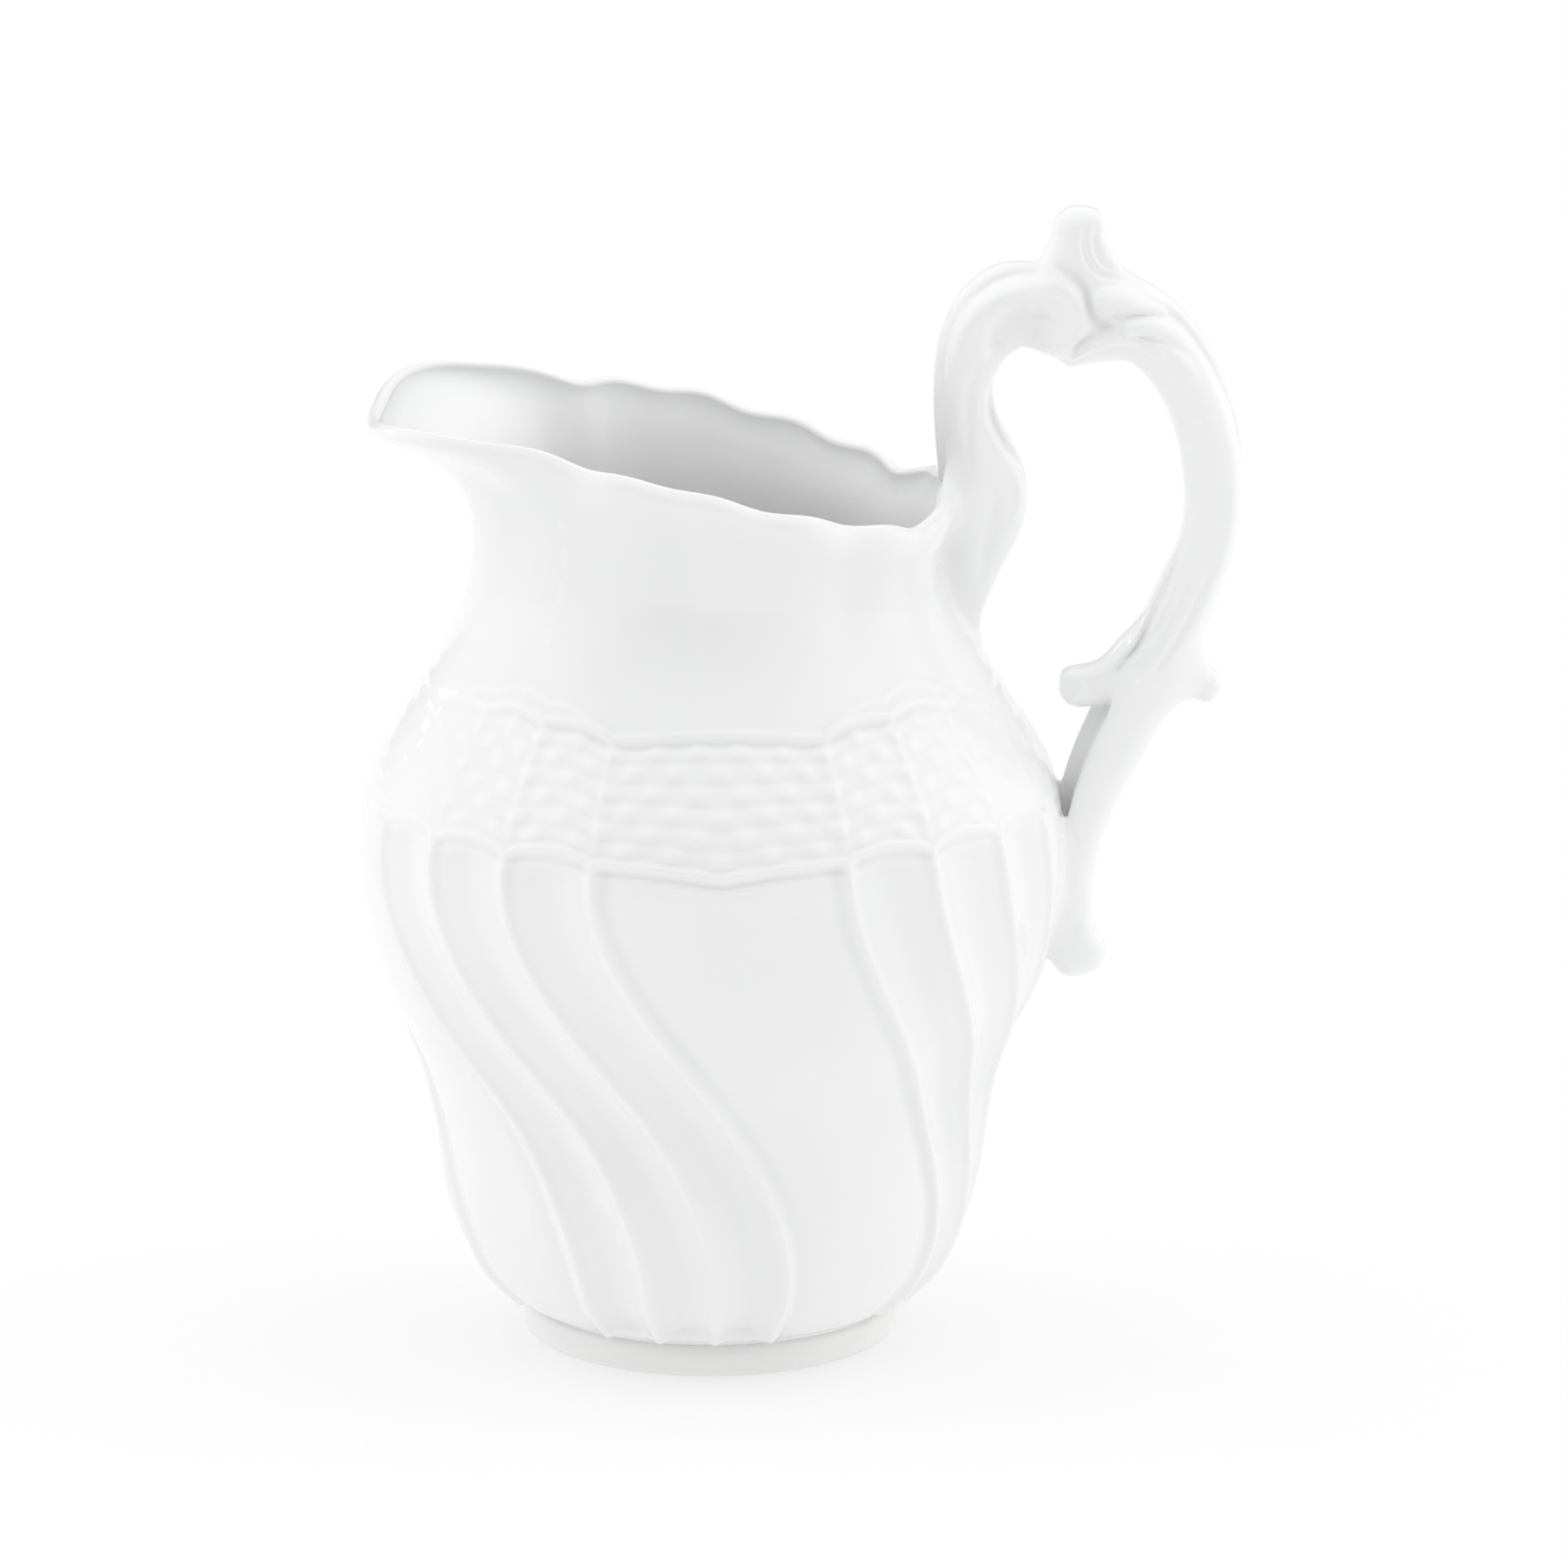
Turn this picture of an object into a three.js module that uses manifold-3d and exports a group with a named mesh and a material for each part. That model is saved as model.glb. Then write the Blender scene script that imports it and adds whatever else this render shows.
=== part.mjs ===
// White porcelain milk jug: a slip-cast baluster body with an open spout, a foot ring, and a
// cast scroll handle luted to the neck and the belly with slip.
// Millimetres, +Z up. The spout points to -X and the handle to +X.

import * as THREE from "three";
import { mergeVertices } from "three/addons/utils/BufferGeometryUtils.js";
import Module from "manifold-3d";

const wasm = await Module();
wasm.setup();

// ---------------------------------------------------------------- driving dimensions

// Outside of the body of revolution: radius and height of each knot, from the foot groove, over
// the waist and the belly, to just under the lip.
const OUTER_KNOTS = [
  [24.1, 5.1], [27.8, 8.7], [30.8, 14.5], [32.4, 21], [33.4, 28], [35.1, 35], [38.0, 41.5],
  [41.3, 51], [42.8, 61.5], [41.4, 70.5], [37.0, 78.5], [31.9, 87], [29.2, 93], [28.5, 99],
  [29.2, 104], [30.0, 107],
];
const WALL = 3.0;
const LIP_WALL = 2.4;
const FLOOR_TOP = 8.4;
const FLOOR_CORNER_RADIUS = 22;
const UNDERSIDE = 5.1;

// The rim is raked: low beside the handle and high at the spout, whose very tip dips again. It
// sags a little on each side, behind the spout.
const RIM_REFERENCE = 107;
const NECK_START = 86;
const RIM_MEAN = 109.6;
const RIM_RAKE = 7.9;
const RIM_SAG = 1.3;
const RIM_SAG_AT = THREE.MathUtils.degToRad(56);
const RIM_SAG_SPREAD = THREE.MathUtils.degToRad(18);
// The rim sweeps up by this much where it meets the stem of the handle.
const HANDLE_RISE = 3.8;
const HANDLE_RISE_FROM = THREE.MathUtils.degToRad(142);
const HANDLE_RISE_TO = THREE.MathUtils.degToRad(178);
const SPOUT_TIP_DIP = 3.9;
const SPOUT_TIP_SPREAD = THREE.MathUtils.degToRad(22);

// The spout is the neck pulled outwards on the -X side.
const SPOUT_REACH = 11.5;
const SPOUT_HALF_ANGLE = THREE.MathUtils.degToRad(42);
const SPOUT_SHOULDER_POWER = 6.0;
const SPOUT_FLARE_POWER = 4.4;

// Foot ring
const FOOT_INNER_RADIUS = 19.2;
const FOOT_OUTER_RADIUS = 23.1;
const FOOT_TOP = 3.9;
const FOOT_ROUNDING = 1.3;
const FOOT_CHAMFER = 0.6;

// Joints: the slip is a thin bed with a hairline of clearance on each side.
const CLEARANCE = 0.3;
const SLIP_THICKNESS = 0.6;
const JOINT_SPLIT_HEIGHT = 80;

// Mesh fineness
const LATHE_SEGMENTS = 52;
const OUTER_STEPS = 23;
const INNER_STEPS = 15;
const LIP_STEPS = 4;
const TUBE_SIDES = 12;
const STEPS_PER_STATION = 3;
const BALL_SIDES = 12;
const BALL_RINGS = 8;

// Handle, drawn in the plane through the spout and the body's axis. Each station holds the
// distance from the axis, the height, and the half width in that plane and across it.
const STEM = [
  [30.4, 89.5, 2.4, 3.0],
  [31.3, 96.8, 4.3, 4.4],
  [33.0, 104.8, 5.5, 4.9],
  [31.2, 112.0, 4.2, 4.8],
  [30.5, 118.5, 3.6, 4.4],
  [32.7, 124.7, 4.6, 4.6],
  [37.2, 127.7, 5.2, 4.8],
  [41.2, 126.4, 4.6, 4.6],
];
const STRAP = [
  [41.5, 127.2, 4.8, 4.4],
  [47.0, 127.2, 5.0, 4.8],
  [52.4, 124.8, 4.6, 4.9],
  [58.5, 116.8, 4.1, 4.8],
  [60.9, 106.5, 3.9, 4.6],
  [60.2, 98.0, 3.7, 4.5],
  [56.3, 88.5, 3.9, 4.4],
  [52.4, 80.5, 4.3, 4.4],
  [48.3, 72.5, 4.1, 4.0],
  [45.4, 65.0, 3.4, 3.6],
  [44.2, 57.0, 2.6, 3.2],
  [44.2, 49.0, 2.5, 3.0],
];
const THUMB_REST = [
  [44.8, 127.0, 6.6, 4.2],
  [44.5, 131.5, 5.1, 3.8],
  [44.3, 135.8, 3.3, 3.0],
];
const LOWER_LEAF = [
  [48.4, 123.6, 3.2, 3.2],
  [43.6, 120.8, 1.0, 1.4],
];
const SCROLL_ARM = [
  [52.4, 81.4, 3.3, 3.6],
  [44.7, 80.0, 2.5, 3.1],
];
const SPUR = [
  [53.8, 82.8, 4.8, 4.0],
  [60.2, 81.1, 1.5, 1.8],
];

// Round ends: distance from the axis, height, radius in the plane, radius across it.
const STEM_SCROLL = [41.2, 124.8, 3.9, 4.6];
const THUMB_TIP = [44.3, 135.8, 3.3, 3.0];
const LEAF_TIP = [43.6, 120.8, 1.0, 1.4];
const SCROLL_BALL = [44.7, 80.0, 2.5, 3.3];
const SPUR_TIP = [60.2, 81.1, 1.5, 1.8];
const TAIL_KNOB = [44.9, 47.4, 3.4, 3.5];

// ---------------------------------------------------------------- materials

const glaze = (roughness) => new THREE.MeshStandardMaterial({
  color: 0xf4f4f2,
  roughness,
  metalness: 0,
});
const bareSlip = () => new THREE.MeshStandardMaterial({
  color: 0xefede8,
  roughness: 0.35,
  metalness: 0,
});

// ---------------------------------------------------------------- solids

function toSolid(geometry) {
  geometry.deleteAttribute("normal");
  geometry.deleteAttribute("uv");
  const merged = mergeVertices(geometry, 1e-4);
  const index = Array.from(merged.index.array);
  const triVerts = [];
  for (let i = 0; i < index.length; i += 3) {
    const [a, b, c] = index.slice(i, i + 3);
    if (a !== b && b !== c && c !== a) triVerts.push(a, b, c);
  }
  return new wasm.Manifold(new wasm.Mesh({
    numProp: 3,
    vertProperties: Float32Array.from(merged.attributes.position.array),
    triVerts: Uint32Array.from(triVerts),
  }));
}

function toGeometry(solid) {
  const mesh = solid.getMesh();
  const geometry = new THREE.BufferGeometry();
  geometry.setAttribute("position", new THREE.BufferAttribute(mesh.vertProperties, 3));
  geometry.setIndex(new THREE.BufferAttribute(mesh.triVerts, 1));
  geometry.computeVertexNormals();
  return geometry;
}

function mapVertices(geometry, move) {
  const position = geometry.attributes.position;
  const point = new THREE.Vector3();
  for (let i = 0; i < position.count; i += 1) {
    point.fromBufferAttribute(position, i);
    move(point);
    position.setXYZ(i, point.x, point.y, point.z);
  }
  return geometry;
}

function lathe(profile) {
  return new THREE.LatheGeometry(profile, LATHE_SEGMENTS).rotateX(Math.PI / 2);
}

// ---------------------------------------------------------------- body

// Turns a point of the body of revolution into a point of the jug: the neck rises to the raked
// rim, and the spout is pulled out of it.
function shapeNeck(point) {
  const rise = THREE.MathUtils.clamp((point.z - NECK_START) / (RIM_REFERENCE - NECK_START), 0, 1);
  const radius = Math.hypot(point.x, point.y);
  if (rise === 0 || radius === 0) return;
  const fromSpout = Math.abs(Math.atan2(point.y, -point.x));
  const tipDip = SPOUT_TIP_DIP * Math.exp(-((fromSpout / SPOUT_TIP_SPREAD) ** 2));
  const sag = RIM_SAG * Math.exp(-(((fromSpout - RIM_SAG_AT) / RIM_SAG_SPREAD) ** 2));
  const atHandle = HANDLE_RISE * THREE.MathUtils.smoothstep(fromSpout, HANDLE_RISE_FROM, HANDLE_RISE_TO);
  const rimHeight = RIM_MEAN + RIM_RAKE * Math.cos(fromSpout) - tipDip - sag + atHandle;
  const lift = (rimHeight - RIM_REFERENCE) * THREE.MathUtils.smoothstep(rise, 0, 1);
  const lobe = Math.exp(-((fromSpout / SPOUT_HALF_ANGLE) ** SPOUT_SHOULDER_POWER));
  const flare = THREE.MathUtils.smoothstep(rise ** SPOUT_FLARE_POWER, 0, 1);
  const stretch = 1 + (SPOUT_REACH * lobe * flare) / radius;
  point.x *= stretch;
  point.y *= stretch;
  point.z += lift;
}

// Points along the outside, moved outwards (or inwards) square to the outline.
function offsetOutline(steps, offsetAt, from = 0) {
  const outline = new THREE.SplineCurve(OUTER_KNOTS.map(([r, z]) => new THREE.Vector2(r, z)));
  const points = [];
  for (let i = 0; i <= steps; i += 1) {
    const u = from + ((1 - from) * i) / steps;
    const point = outline.getPointAt(u);
    const tangent = outline.getTangentAt(u);
    const offset = offsetAt(u);
    points.push(new THREE.Vector2(point.x + offset * tangent.y, point.y - offset * tangent.x));
  }
  return points;
}

function bodyGeometry() {
  const outer = offsetOutline(OUTER_STEPS, () => 0);
  const wallAt = (u) => THREE.MathUtils.lerp(WALL, LIP_WALL, THREE.MathUtils.smoothstep(u, 0.6, 1));
  const inner = offsetOutline(INNER_STEPS, (u) => -wallAt(u), 0.12).reverse();
  const lipCentre = outer.at(-1).clone().add(inner[0]).divideScalar(2);
  const lip = [];
  for (let i = 1; i < LIP_STEPS; i += 1) {
    const angle = (Math.PI * i) / LIP_STEPS;
    const reach = new THREE.Vector2(Math.cos(angle), Math.sin(angle)).multiplyScalar(LIP_WALL / 2);
    lip.push(lipCentre.clone().add(reach));
  }
  const profile = [
    new THREE.Vector2(0, UNDERSIDE),
    ...outer,
    ...lip,
    ...inner,
    new THREE.Vector2(FLOOR_CORNER_RADIUS, FLOOR_TOP),
    new THREE.Vector2(0, FLOOR_TOP),
  ];
  return mapVertices(lathe(profile), shapeNeck);
}

// The body's outside as a filled solid, grown by the given distance. It cuts what touches it.
function bodyEnvelope(growth) {
  const outer = offsetOutline(OUTER_STEPS, () => growth);
  const top = outer.at(-1).y + LIP_WALL / 2 + growth;
  const profile = [
    new THREE.Vector2(0, UNDERSIDE),
    ...outer,
    new THREE.Vector2(outer.at(-1).x - LIP_WALL / 4, top),
    new THREE.Vector2(0, top),
  ];
  return toSolid(mapVertices(lathe(profile), shapeNeck));
}

// ---------------------------------------------------------------- foot

function footRingGeometry() {
  const profile = [
    [FOOT_INNER_RADIUS + FOOT_CHAMFER, 0],
    [FOOT_OUTER_RADIUS - FOOT_ROUNDING, 0],
    [FOOT_OUTER_RADIUS - FOOT_ROUNDING * 0.3, FOOT_ROUNDING * 0.4],
    [FOOT_OUTER_RADIUS, FOOT_ROUNDING],
    [FOOT_OUTER_RADIUS, FOOT_TOP - FOOT_CHAMFER],
    [FOOT_OUTER_RADIUS - FOOT_CHAMFER, FOOT_TOP],
    [FOOT_INNER_RADIUS, FOOT_TOP],
    [FOOT_INNER_RADIUS, FOOT_CHAMFER],
    [FOOT_INNER_RADIUS + FOOT_CHAMFER, 0],
  ];
  return lathe(profile.map(([r, z]) => new THREE.Vector2(r, z)));
}

function footSlipGeometry() {
  const low = FOOT_TOP + CLEARANCE;
  const high = UNDERSIDE - CLEARANCE;
  const inside = FOOT_INNER_RADIUS + FOOT_CHAMFER;
  const outside = FOOT_OUTER_RADIUS - 2 * FOOT_CHAMFER;
  const profile = [[inside, low], [outside, low], [outside, high], [inside, high], [inside, low]];
  return lathe(profile.map(([r, z]) => new THREE.Vector2(r, z)));
}

// ---------------------------------------------------------------- handle

// A round bar bent along a path in the X-Z plane, with its own thickness at every station.
function bar(stations) {
  const path = new THREE.CatmullRomCurve3(
    stations.map(([x, z]) => new THREE.Vector3(x, 0, z)), false, "centripetal");
  const thickness = new THREE.CatmullRomCurve3(
    stations.map(([, , inPlane, across]) => new THREE.Vector3(inPlane, across, 0)));
  const steps = Math.max(3, (stations.length - 1) * STEPS_PER_STATION);
  const cylinder = new THREE.CylinderGeometry(1, 1, 1, TUBE_SIDES, steps);
  return toSolid(mapVertices(cylinder, (point) => {
    const t = THREE.MathUtils.clamp(point.y + 0.5, 0, 1);
    const centre = path.getPoint(t);
    const tangent = path.getTangent(t);
    const half = thickness.getPoint(t);
    const inPlane = point.x * half.x;
    const across = point.z * half.y;
    point.set(centre.x - inPlane * tangent.z, across, centre.z + inPlane * tangent.x);
  }));
}

function ball([x, z, inPlane, across]) {
  const sphere = new THREE.SphereGeometry(1, BALL_SIDES, BALL_RINGS);
  return toSolid(sphere.scale(inPlane, across, inPlane).translate(x, 0, z));
}

function handleBlank() {
  const bars = [STEM, STRAP, THUMB_REST, LOWER_LEAF, SCROLL_ARM, SPUR].map(bar);
  const balls = [STEM_SCROLL, THUMB_TIP, LEAF_TIP, SCROLL_BALL, SPUR_TIP, TAIL_KNOB].map(ball);
  return [...bars, ...balls].reduce((sum, piece) => sum.add(piece));
}

// A block that holds everything on one side of the height between the two roots.
function halfSpace(above) {
  const size = 400;
  const centre = JOINT_SPLIT_HEIGHT + (above ? size / 2 : -size / 2);
  return toSolid(new THREE.BoxGeometry(size, size, size).translate(0, 0, centre));
}

// ---------------------------------------------------------------- assembly

function piece(name, geometry, material) {
  const mesh = new THREE.Mesh(geometry, material);
  mesh.name = name;
  return mesh;
}

const blank = handleBlank();
const slipShell = bodyEnvelope(CLEARANCE + SLIP_THICKNESS).subtract(bodyEnvelope(CLEARANCE));
const slipBeds = blank.intersect(slipShell);
const handle = blank.subtract(bodyEnvelope(2 * CLEARANCE + SLIP_THICKNESS));

const jug = new THREE.Group();
jug.add(
  piece("body", bodyGeometry(), glaze(0.12)),
  piece("foot_ring", footRingGeometry(), glaze(0.2)),
  piece("foot_slip", footSlipGeometry(), bareSlip()),
  piece("handle", toGeometry(handle), glaze(0.12)),
  piece("upper_handle_slip", toGeometry(slipBeds.intersect(halfSpace(true))), bareSlip()),
  piece("lower_handle_slip", toGeometry(slipBeds.intersect(halfSpace(false))), bareSlip()),
);

// The origin is under the middle of the whole jug, on the surface that it stands on.
const extent = new THREE.Box3().setFromObject(jug);
jug.position.x = -(extent.min.x + extent.max.x) / 2;

export default jug;
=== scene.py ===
"""White porcelain milk jug: the finished surfaces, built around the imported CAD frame.

Blender works in metres. The shapes below are worked out in millimetres from the jug's own axis,
with the spout towards -X and the handle towards +X, and are scaled and moved when a mesh is made.
"""

import math

import bpy
import numpy as np
import openvdb
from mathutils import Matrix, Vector


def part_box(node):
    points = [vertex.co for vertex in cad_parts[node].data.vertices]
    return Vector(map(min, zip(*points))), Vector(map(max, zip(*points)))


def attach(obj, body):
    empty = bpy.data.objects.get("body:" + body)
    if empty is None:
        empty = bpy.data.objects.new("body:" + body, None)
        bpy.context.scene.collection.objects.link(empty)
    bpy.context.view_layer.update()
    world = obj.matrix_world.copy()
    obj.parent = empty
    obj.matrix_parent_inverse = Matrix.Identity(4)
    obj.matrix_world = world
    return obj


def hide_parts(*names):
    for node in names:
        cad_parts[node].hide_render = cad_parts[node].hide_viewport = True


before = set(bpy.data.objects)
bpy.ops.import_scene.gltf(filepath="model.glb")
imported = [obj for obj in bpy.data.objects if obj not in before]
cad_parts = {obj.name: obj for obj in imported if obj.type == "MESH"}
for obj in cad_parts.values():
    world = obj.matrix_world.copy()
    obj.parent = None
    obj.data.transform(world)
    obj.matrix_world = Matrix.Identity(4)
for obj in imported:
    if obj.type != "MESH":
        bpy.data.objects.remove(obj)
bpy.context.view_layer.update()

MM = 0.001

# ------------------------------------------------------------------ driving dimensions (mm)

foot_low, foot_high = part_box("foot_ring")
AXIS_X = (foot_low.x + foot_high.x) / 2 / MM
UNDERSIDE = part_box("body")[0].z / MM

# The body before its neck is shaped: (radius, height) points up the outside, and wall thicknesses
OUTLINE = [
    (24.1, UNDERSIDE), (27.8, 8.7), (30.8, 14.5), (32.4, 21), (33.4, 28), (35.1, 35), (38.0, 41.5),
    (41.3, 51), (42.8, 61.5), (41.4, 70.5), (37.0, 78.5), (31.9, 87), (29.2, 93), (28.5, 98.5),
    (29.1, 102.6), (29.75, 105), (29.8, 106.4), (29.55, 107.5),
]
WALL = 3.0
NECK_WALL = 2.4
LIP_WALL = 1.5
FLOOR_TOP = 8.4
FLOOR_RADIUS = 22.0
INSIDE_FROM = 0.12

# The neck is lifted to a raked, waved rim. The rim dips at the spout's tip, sags a little behind
# the spout, and sweeps up where it meets the handle.
NECK_START = 86.0
RIM_REFERENCE = 107.0
RIM_MEAN = 109.6
RIM_RAKE = 7.9
RIM_SAG = 1.3
RIM_SAG_AT = math.radians(56)
RIM_SAG_SPREAD = math.radians(18)
HANDLE_RISE = 3.8
HANDLE_RISE_FROM = math.radians(142)
HANDLE_RISE_SPREAD = math.radians(36)
RIM_WAVES = 16
WAVES_FROM = 0.5
WAVES_FADE = 0.4
WAVE_LIFT = 0.28
WAVE_REACH = 0.3
LIP_ROLL = 0.2
LIP_ROLL_BELOW = 0.4
LIP_ROLL_WIDTH = 2.5

# The spout is the neck pulled outwards towards -X
SPOUT_TIP_DIP = 3.9
SPOUT_TIP_SPREAD = math.radians(22)
SPOUT_REACH = 11.5
SPOUT_HALF_ANGLE = math.radians(42)
SPOUT_SHOULDER_POWER = 6.0
SPOUT_FLARE_POWER = 4.4

# Relief. Every quarter of the body has one wide plain panel and three narrow flutes between ribs.
QUARTER = math.radians(90)
PANEL_HALF = math.radians(21)
FLUTE = math.radians(16)
FLUTES = 3
SWIRL = math.radians(36.5)
SWIRL_TOP = 67.2
SWIRL_HEIGHT = 55.0
RIB_HEIGHT = 0.6
RIB_WIDTH = 0.95
RIB_RUN_IN = 0.8
FLUTE_DEPTH = 0.95
FLUTE_RUN_IN = 3.5
FLUTE_RUN_OUT = 1.2
PANEL_GROOVE = 0.25
PANEL_GROOVE_FROM_RIB = 2.0
PANEL_GROOVE_WIDTH = 1.3

# The basket-weave band: its borders arch over the flutes and come to a point under each panel
BAND_LOW = 68.9
BAND_HIGH = 82.3
PANEL_POINT = 1.2
PANEL_POINT_WIDTH = 0.42
PANEL_CROWN = 0.9
LOW_ARCH = 1.15
HIGH_ARCH = 0.7
GROUP_ARCH = 1.3
BORDER_HEIGHT = 0.42
BORDER_WIDTH = 0.5
BORDER_GROOVE = 0.25
LOW_GROOVE_BELOW = 1.15
HIGH_GROOVE_BELOW = 1.1
LOW_ECHO = 0.22
LOW_ECHO_BELOW = 1.7
LOW_ECHO_WIDTH = 0.35
HIGH_ECHO = 0.3
HIGH_ECHO_ABOVE = 2.0
WEAVE_ROWS = 6
WEAVE_PITCH = math.radians(8)
WEAVE_HEIGHT = 0.38
WEAVE_MARGIN = 0.5
ROW_MARGIN = 0.6
STAKE_HEIGHT = 0.2
STAKE_WIDTH = 0.8

# The band is faint beside the handle and beside the spout, up to this angle from each
WIPED_TO = math.radians(58)
WIPED_FADE = math.radians(36)
WIPED_AT_HANDLE = 0.85
WORN_AT_SPOUT = 0.85

# The neck's upright creases
CREASE_AT = math.radians(-9)
BROAD_LOBE = math.radians(42)
LOBE_HEIGHT = 0.6
LOBE_MEAN = 0.65
CREASE_SOFTNESS = 0.03
LOBE_RUN_IN = 8

# Fineness of the meshes
COLUMNS = 720
FOOT_COLUMNS = 240
RING_STEP = 0.5
BAND_RING_STEP = 0.34
BAND_MARGIN = 4
INSIDE_RING_EVERY = 4
VOXEL = 0.28


# ------------------------------------------------------------------ small tools

def smooth(value):
    """0 below 0, 1 above 1, and an S-curve between."""
    value = np.clip(value, 0, 1)
    return value * value * (3 - 2 * value)


def ridge(distance, width):
    """A rounded ridge of height 1."""
    return np.exp(-((distance / width) ** 2))


def spline(knots, count):
    """Points of a natural cubic spline through the knots, evenly spaced along their chords."""
    knots = np.array(knots, float)
    chord = np.hypot(*(knots[1:, :2] - knots[:-1, :2]).T)
    at = np.concatenate([[0], np.cumsum(chord)])
    n = len(knots)
    system = np.zeros((n, n))
    right = np.zeros((n, knots.shape[1]))
    system[0, 0] = system[-1, -1] = 1
    for i in range(1, n - 1):
        before, after = chord[i - 1], chord[i]
        system[i, i - 1:i + 2] = before, 2 * (before + after), after
        right[i] = 6 * ((knots[i + 1] - knots[i]) / after - (knots[i] - knots[i - 1]) / before)
    bend = np.linalg.solve(system, right)
    where = np.linspace(0, at[-1], count)
    i = np.clip(np.searchsorted(at, where, side="right") - 1, 0, n - 2)
    span = chord[i][:, None]
    a = (at[i + 1] - where)[:, None]
    b = (where - at[i])[:, None]
    return (
        bend[i] * a**3 / (6 * span) + bend[i + 1] * b**3 / (6 * span)
        + (knots[i] / span - bend[i] * span / 6) * a
        + (knots[i + 1] / span - bend[i + 1] * span / 6) * b
    )


def make_piece(name, points, faces, material):
    """A smooth-shaded mesh from millimetre points about the jug's axis, riding on the one body."""
    mesh = bpy.data.meshes.new(name)
    placed = (np.asarray(points, float) + (AXIS_X, 0, 0)) * MM
    mesh.from_pydata(placed.tolist(), [], faces)
    mesh.polygons.foreach_set("use_smooth", np.ones(len(mesh.polygons), bool))
    mesh.materials.append(material)
    mesh.update()
    piece = bpy.data.objects.new(name, mesh)
    bpy.context.scene.collection.objects.link(piece)
    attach(piece, "root")
    return piece


def ring_faces(rings, columns, first_is_point, last_is_point):
    """Faces of a stack of rings. A ring that is a point is one vertex."""
    faces = []
    start = 1 if first_is_point else 0
    around = np.arange(columns)
    beside = (around + 1) % columns
    if first_is_point:
        faces += [(0, int(start + b), int(start + a)) for a, b in zip(around, beside)]
    for k in range(rings - 1):
        low = start + k * columns
        high = low + columns
        block = np.stack([low + around, low + beside, high + beside, high + around], 1)
        faces += block.tolist()
    if last_is_point:
        low = start + (rings - 1) * columns
        top = low + columns
        faces += [(int(low + a), int(low + b), top) for a, b in zip(around, beside)]
    return faces


# ------------------------------------------------------------------ body

def swirl(z):
    """How far the flutes have turned about the axis at a height."""
    return SWIRL * smooth((SWIRL_TOP - z) / SWIRL_HEIGHT)


def quarter_places(angle):
    """Turn past the middle of the last panel, whether that is still in the panel, and if not, how
    many flutes past it."""
    turned = (angle + PANEL_HALF) % QUARTER - PANEL_HALF
    return turned, turned < PANEL_HALF, (turned - PANEL_HALF) / FLUTE


def band_edges(in_panel, panel_place, arch, over_group):
    """Heights of the band's lower and upper borders."""
    point = PANEL_POINT * np.exp(-((np.abs(panel_place) / PANEL_POINT_WIDTH) ** 1.4))
    low = BAND_LOW + np.where(in_panel, -point * (1 - panel_place**2), LOW_ARCH * arch)
    crown = PANEL_CROWN * np.cos(math.pi / 2 * panel_place) ** 1.2
    high = BAND_HIGH + np.where(in_panel, crown, GROUP_ARCH * over_group + HIGH_ARCH * arch)
    return low, high


def flute_relief(z, in_panel, across, to_rib, low):
    """Ribs below the band, hollow flutes between them, and a soft groove beside each panel's ribs."""
    below = smooth((low - z) / RIB_RUN_IN)
    ribs = RIB_HEIGHT * ridge(to_rib, RIB_WIDTH) * below
    hollow = np.where(in_panel, 0, np.sin(math.pi * across) ** 2)
    run = smooth((low - z) / FLUTE_RUN_IN) * smooth((z - UNDERSIDE) / FLUTE_RUN_OUT)
    groove = PANEL_GROOVE * ridge(to_rib - PANEL_GROOVE_FROM_RIB, PANEL_GROOVE_WIDTH) * smooth(to_rib)
    return ribs - FLUTE_DEPTH * hollow * run - np.where(in_panel, groove, 0) * below


def border_relief(z, in_panel, panel_place, over_group, low, high):
    """The band's two raised borders, the groove under each, and the faint lines that echo them."""
    borders = BORDER_HEIGHT * (ridge(z - low, BORDER_WIDTH) + ridge(z - high, BORDER_WIDTH))
    grooves = BORDER_GROOVE * (ridge(z - low + LOW_GROOVE_BELOW, BORDER_WIDTH)
                               + ridge(z - high + HIGH_GROOVE_BELOW, BORDER_WIDTH))
    low_echo = np.where(in_panel, LOW_ECHO * np.cos(math.pi / 2 * panel_place) ** 2, 0)
    high_echo = HIGH_ECHO * np.sqrt(over_group)
    return (borders - grooves + low_echo * ridge(z - low + LOW_ECHO_BELOW, LOW_ECHO_WIDTH)
            + high_echo * ridge(z - high - HIGH_ECHO_ABOVE * over_group, BORDER_WIDTH))


def weave_relief(angle, z, to_rib, low, high):
    """Rows of strands that pass over and under, and an upright stake over each rib."""
    inside = (smooth((z - low - WEAVE_MARGIN) / WEAVE_MARGIN)
              * smooth((high - WEAVE_MARGIN - z) / WEAVE_MARGIN))
    row = (z - low - ROW_MARGIN) / (high - low - 2 * ROW_MARGIN) * WEAVE_ROWS
    stagger = np.floor(row) * math.pi
    strand = np.sin(math.pi * (row % 1))
    bump = (0.5 + 0.5 * np.cos(2 * math.pi * angle / WEAVE_PITCH + stagger)) ** 2
    weave = WEAVE_HEIGHT * (strand * (0.15 + 0.85 * bump) - 0.3)
    return (weave + STAKE_HEIGHT * ridge(to_rib, STAKE_WIDTH)) * inside


def band_wear(angle):
    """How much of the band's relief is left at an angle about the axis."""
    from_handle = np.abs(np.arctan2(-np.cos(angle), np.sin(angle)))
    from_spout = math.pi - from_handle
    wiped = 1 - WIPED_AT_HANDLE * smooth((WIPED_TO - from_handle) / WIPED_FADE)
    worn = 1 - WORN_AT_SPOUT * smooth((WIPED_TO - from_spout) / WIPED_FADE)
    return wiped * worn


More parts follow.
